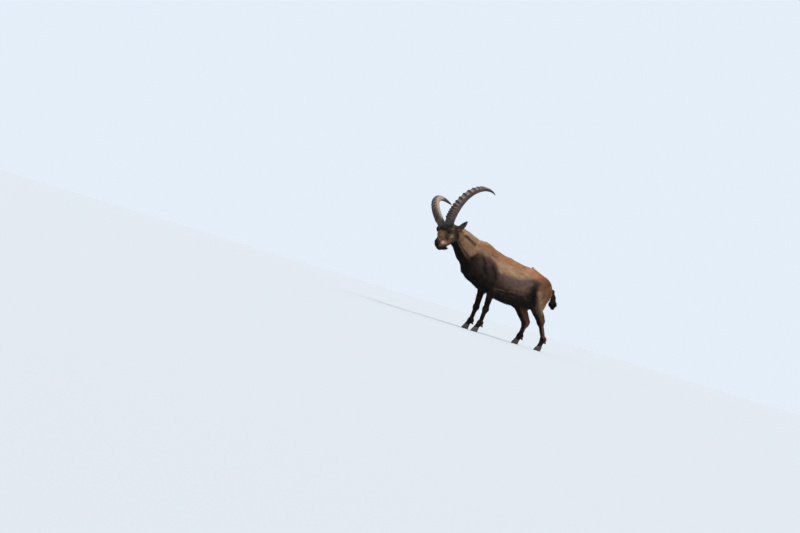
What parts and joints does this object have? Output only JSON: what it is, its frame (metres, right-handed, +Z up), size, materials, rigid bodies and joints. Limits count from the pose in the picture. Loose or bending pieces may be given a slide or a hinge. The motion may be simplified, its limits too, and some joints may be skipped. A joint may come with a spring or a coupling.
{
  "type": "alpine ibex",
  "caption": "Life-size still model of a standing male alpine ibex, its head lowered and turned to its left, with long ridged horns that curve back.",
  "frame": {"origin": "on the floor, under the middle of the whole animal's box", "axes": "+Z up, -X the way the body faces, -Y the animal's left side, which the picture shows"},
  "size_m": [1.4824, 0.6976, 1.4027],
  "materials": {
    "coat": "short brown and tan hair, darker and longer on the chest, belly and tail",
    "horn": "ridged grey-brown horn",
    "eye": "wet and glossy, amber brown round a dark pupil",
    "hoof": "dark horn with a dull shine"
  },
  "bodies": {
    "root": {"trunk": "coat", "neck": "coat", "head": "coat", "foreleg_upper_left": "coat", "foreleg_upper_right": "coat", "hindleg_upper_left": "coat", "hindleg_upper_right": "coat", "foreleg_shin_left": "coat", "foreleg_shin_right": "coat", "hindleg_shin_left": "coat", "hindleg_shin_right": "coat", "ear_left": "coat", "ear_right": "coat", "tail": "coat", "beard": "coat", "horn_left": "horn", "horn_right": "horn", "eye_left": "eye", "eye_right": "eye", "claw_foreleg_left_inner": "hoof", "claw_foreleg_left_outer": "hoof", "claw_foreleg_right_inner": "hoof", "claw_foreleg_right_outer": "hoof", "claw_hindleg_left_inner": "hoof", "claw_hindleg_left_outer": "hoof", "claw_hindleg_right_inner": "hoof", "claw_hindleg_right_outer": "hoof", "dewclaw_foreleg_left_inner": "hoof", "dewclaw_foreleg_left_outer": "hoof", "dewclaw_foreleg_right_inner": "hoof", "dewclaw_foreleg_right_outer": "hoof", "dewclaw_hindleg_left_inner": "hoof", "dewclaw_hindleg_left_outer": "hoof", "dewclaw_hindleg_right_inner": "hoof", "dewclaw_hindleg_right_outer": "hoof"}
  },
  "joints": []
}
